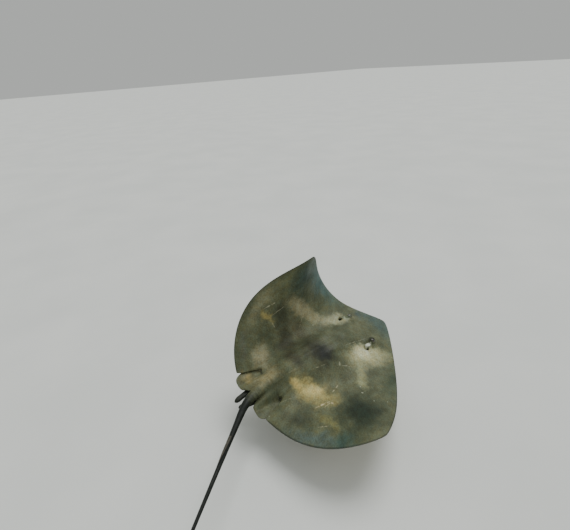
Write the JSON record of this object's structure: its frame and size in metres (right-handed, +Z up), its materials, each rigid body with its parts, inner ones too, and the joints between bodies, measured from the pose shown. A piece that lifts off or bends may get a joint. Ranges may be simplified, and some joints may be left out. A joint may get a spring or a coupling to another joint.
{
  "type": "southern stingray museum model",
  "caption": "Life-size still model of a male southern stingray swimming in a bank, wing tips raised and tail bent to its right, held over a flat base by short rods.",
  "frame": {"origin": "centre of the stand base's underside", "axes": "+Z up; the snout points along -Y, the tail leaves along +Y, and the animal's left side is +X"},
  "size_m": [0.5098, 1.1056, 0.3545],
  "materials": {
    "skin": "moist mottled olive-brown skin above, off-white below",
    "sting": "satin bone-like spine",
    "eye": "polished dark glass eye",
    "stand_paint": "satin charcoal paint",
    "stand_pad": "matt black pad",
    "stand_steel": "brushed"
  },
  "bodies": {
    "root": {"head": "skin", "trunk": "skin", "wing_left": "skin", "wing_right": "skin", "pelvic_fin_left": "skin", "pelvic_fin_right": "skin", "clasper_left": "skin", "clasper_right": "skin", "tail_1": "skin", "tail_2": "skin", "tail_3": "skin", "tail_4": "skin", "tail_sting": "sting", "eye_left": "eye", "eye_right": "eye", "stand_base": "stand_paint", "stand_pad_front": "stand_pad", "stand_pad_rear": "stand_pad", "stand_rod_front": "stand_steel", "stand_rod_rear": "stand_steel"}
  },
  "joints": []
}
